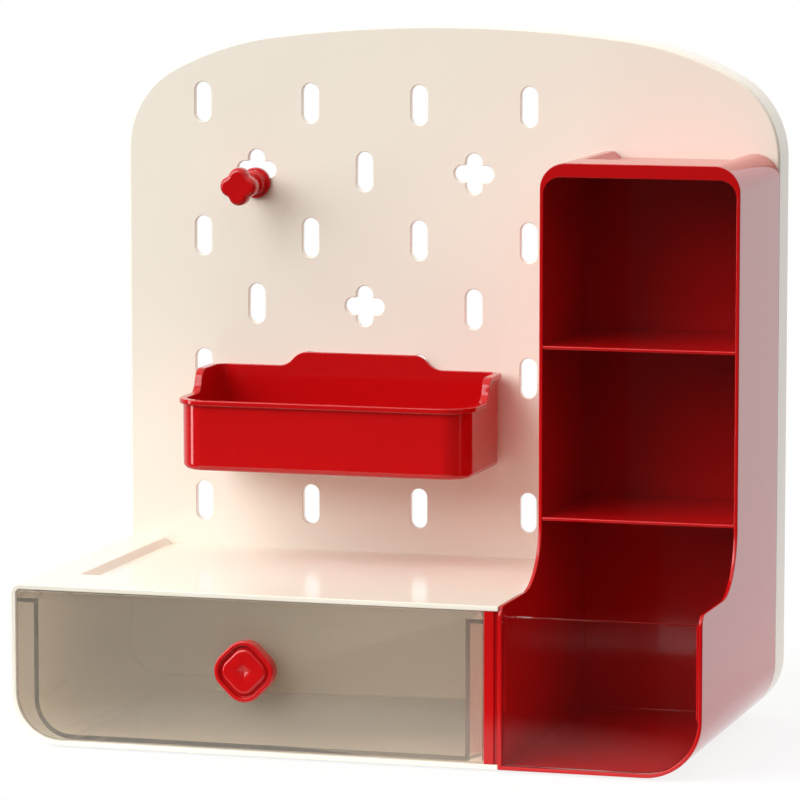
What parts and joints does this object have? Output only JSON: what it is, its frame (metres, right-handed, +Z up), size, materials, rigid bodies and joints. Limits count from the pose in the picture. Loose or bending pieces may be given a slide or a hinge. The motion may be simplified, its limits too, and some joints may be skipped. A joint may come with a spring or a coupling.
{
  "type": "pegboard desk organizer",
  "caption": "Arched pegboard on a low clear-front drawer, beside a tower of open compartments, with a hook-on tray and a lobed peg.",
  "frame": {"origin": "middle of the footprint's box, on the desk", "axes": "+Z up; the open front faces -Y; +X is to the right as seen from the front, where the tower stands"},
  "size_m": [0.2694, 0.158, 0.271],
  "materials": {
    "cream": "smooth satin gloss, warm cream",
    "red": "high gloss, deep red",
    "smoke": "clear plastic with a smoky tan tint",
    "clear": "clear plastic, nearly colourless",
    "steel": "zinc plated screw",
    "pad": "soft matt pad"
  },
  "bodies": {
    "organizer": {"pegboard_panel": "cream", "drawer_housing": "cream", "drawer_rail": "red", "tower_shell": "red", "upper_shelf": "red", "lower_shelf": "red", "front_pane": "clear", "housing_screws": "steel", "tower_screws": "steel", "housing_feet": "pad", "tower_feet": "pad"},
    "drawer": {"drawer_tray": "smoke", "drawer_front": "smoke", "drawer_knob": "red", "knob_screw": "steel"},
    "hanging_tray": {"basket": "red"},
    "peg": {"peg_knob": "red", "peg_retainer": "red"}
  },
  "joints": [
    {"name": "drawer_slide", "type": "slide", "parent": "organizer", "child": "drawer", "axis": [0, -1, 0], "range_m": [0, 0.1]},
    {"name": "basket_lift", "type": "slide", "parent": "organizer", "child": "hanging_tray", "axis": [0, 0, 1], "range_m": [0, 0.0065]},
    {"name": "peg_lift", "type": "slide", "parent": "organizer", "child": "peg", "axis": [0, 0, 1], "range_m": [0, 0.0052]}
  ]
}
